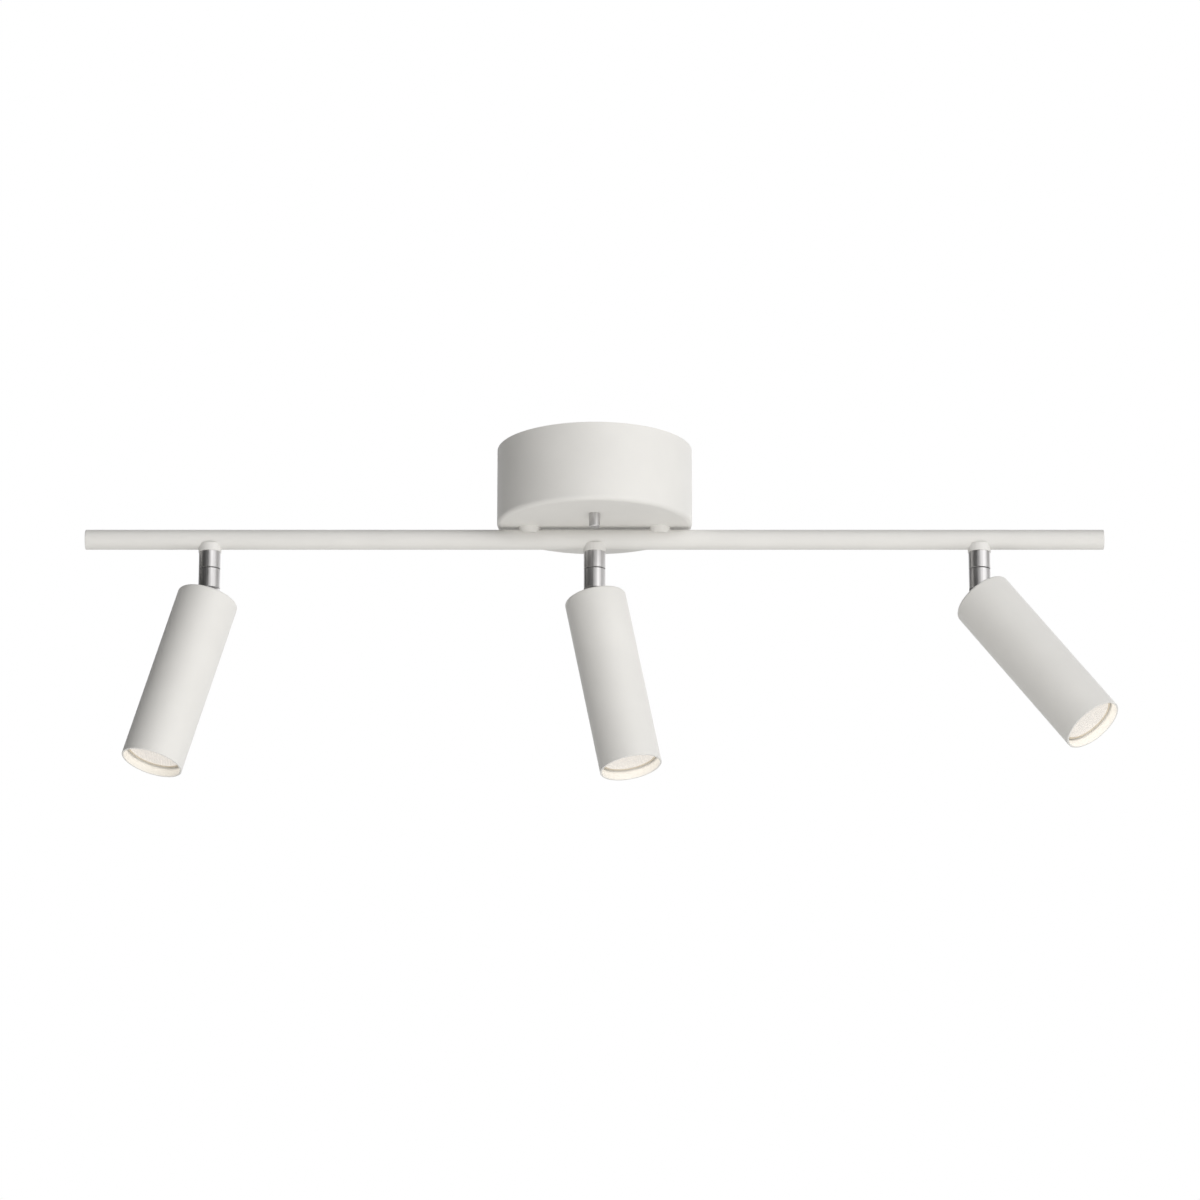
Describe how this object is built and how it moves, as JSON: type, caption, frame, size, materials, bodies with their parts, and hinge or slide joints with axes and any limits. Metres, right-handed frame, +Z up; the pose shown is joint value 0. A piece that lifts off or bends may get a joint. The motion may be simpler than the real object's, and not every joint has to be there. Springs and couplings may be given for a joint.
{
  "type": "ceiling spot bar",
  "caption": "Ceiling light: a drum canopy carries a straight round bar, with slim tubular spot heads hung on steel stems that turn and tilt",
  "frame": {"origin": "centre of the canopy's rim, on the ceiling plane", "axes": "+X along the bar to the right, -Y the front, +Z up towards the ceiling"},
  "size_m": [0.6644, 0.127, 0.2216],
  "materials": {
    "white_coat": "matte",
    "brushed_stem": "satin",
    "zinc_steel": "satin",
    "black_rubber": "matte",
    "block_plastic": "matte",
    "plug_plastic": "matte",
    "brass": "satin",
    "holder_ceramic": "matte",
    "lead_sleeve": "matte",
    "lamp_plastic": "gloss",
    "lamp_lens": "gloss"
  },
  "bodies": {
    "fixture": {"mounting_plate": "zinc_steel", "cable_grommet": "black_rubber", "canopy_studs": "zinc_steel", "stud_locknuts": "zinc_steel", "canopy_shell": "white_coat", "canopy_cap_nuts": "brushed_stem", "terminal_block": "block_plastic", "terminal_screws": "brass", "earth_screw": "brass", "bar_tube": "white_coat", "bar_end_plugs": "plug_plastic", "standoff_saddles": "white_coat", "standoff_nipples": "zinc_steel", "standoff_nuts": "zinc_steel", "supply_leads": "lead_sleeve", "stem_saddle_left": "white_coat", "stem_nipple_left": "zinc_steel", "upper_sleeve_left": "brushed_stem", "swivel_nut_left": "zinc_steel", "stem_saddle_centre": "white_coat", "stem_nipple_centre": "zinc_steel", "upper_sleeve_centre": "brushed_stem", "swivel_nut_centre": "zinc_steel", "stem_saddle_right": "white_coat", "stem_nipple_right": "zinc_steel", "upper_sleeve_right": "brushed_stem", "swivel_nut_right": "zinc_steel"},
    "swivel_left": {"swivel_sleeve_left": "brushed_stem", "knuckle_left": "brushed_stem"},
    "head_left": {"yoke_left": "zinc_steel", "yoke_screws_left": "zinc_steel", "pivot_screw_left": "zinc_steel", "head_shell_left": "white_coat", "lampholder_left": "holder_ceramic", "head_lead_left": "lead_sleeve"},
    "lamp_left": {"lamp_body_left": "lamp_plastic", "lamp_lens_left": "lamp_lens"},
    "swivel_centre": {"swivel_sleeve_centre": "brushed_stem", "knuckle_centre": "brushed_stem"},
    "head_centre": {"yoke_centre": "zinc_steel", "yoke_screws_centre": "zinc_steel", "pivot_screw_centre": "zinc_steel", "head_shell_centre": "white_coat", "lampholder_centre": "holder_ceramic", "head_lead_centre": "lead_sleeve"},
    "lamp_centre": {"lamp_body_centre": "lamp_plastic", "lamp_lens_centre": "lamp_lens"},
    "swivel_right": {"swivel_sleeve_right": "brushed_stem", "knuckle_right": "brushed_stem"},
    "head_right": {"yoke_right": "zinc_steel", "yoke_screws_right": "zinc_steel", "pivot_screw_right": "zinc_steel", "head_shell_right": "white_coat", "lampholder_right": "holder_ceramic", "head_lead_right": "lead_sleeve"},
    "lamp_right": {"lamp_body_right": "lamp_plastic", "lamp_lens_right": "lamp_lens"}
  },
  "joints": [
    {"name": "pan_left", "type": "hinge", "parent": "fixture", "child": "swivel_left", "pos_m": [-0.25, 0, -0.0983], "axis": [0, 0, 1], "range_deg": [-109.7, 226.3]},
    {"name": "tilt_left", "type": "hinge", "parent": "swivel_left", "child": "head_left", "pos_m": [-0.25, 0, -0.0983], "axis": [-0.5255, 0.8508, 0], "range_deg": [-18.2, 46.8], "deforming": ["head_lead_left"]},
    {"name": "lamp_turn_left", "type": "hinge", "parent": "head_left", "child": "lamp_left", "pos_m": [-0.25, 0, -0.0983], "axis": [-0.2657, -0.1641, -0.95], "range_deg": [0, 18]},
    {"name": "pan_centre", "type": "hinge", "parent": "fixture", "child": "swivel_centre", "pos_m": [0, 0, -0.0983], "axis": [0, 0, 1], "range_deg": [-221, 115]},
    {"name": "tilt_centre", "type": "hinge", "parent": "swivel_centre", "child": "head_centre", "pos_m": [0, 0, -0.0983], "axis": [-0.6018, -0.7986, 0], "range_deg": [-13.8, 51.2], "deforming": ["head_lead_centre"]},
    {"name": "lamp_turn_centre", "type": "hinge", "parent": "head_centre", "child": "lamp_centre", "pos_m": [0, 0, -0.0983], "axis": [0.1905, -0.1436, -0.9711], "range_deg": [0, 18]},
    {"name": "pan_right", "type": "hinge", "parent": "fixture", "child": "swivel_right", "pos_m": [0.25, 0, -0.0983], "axis": [0, 0, 1], "range_deg": [-229.3, 106.7]},
    {"name": "tilt_right", "type": "hinge", "parent": "swivel_right", "child": "head_right", "pos_m": [0.25, 0, -0.0983], "axis": [-0.4802, -0.8771, 0], "range_deg": [-38.6, 26.4], "deforming": ["head_lead_right"]},
    {"name": "lamp_turn_right", "type": "hinge", "parent": "head_right", "child": "lamp_right", "pos_m": [0.25, 0, -0.0983], "axis": [0.5472, -0.2996, -0.7815], "range_deg": [0, 18]}
  ]
}
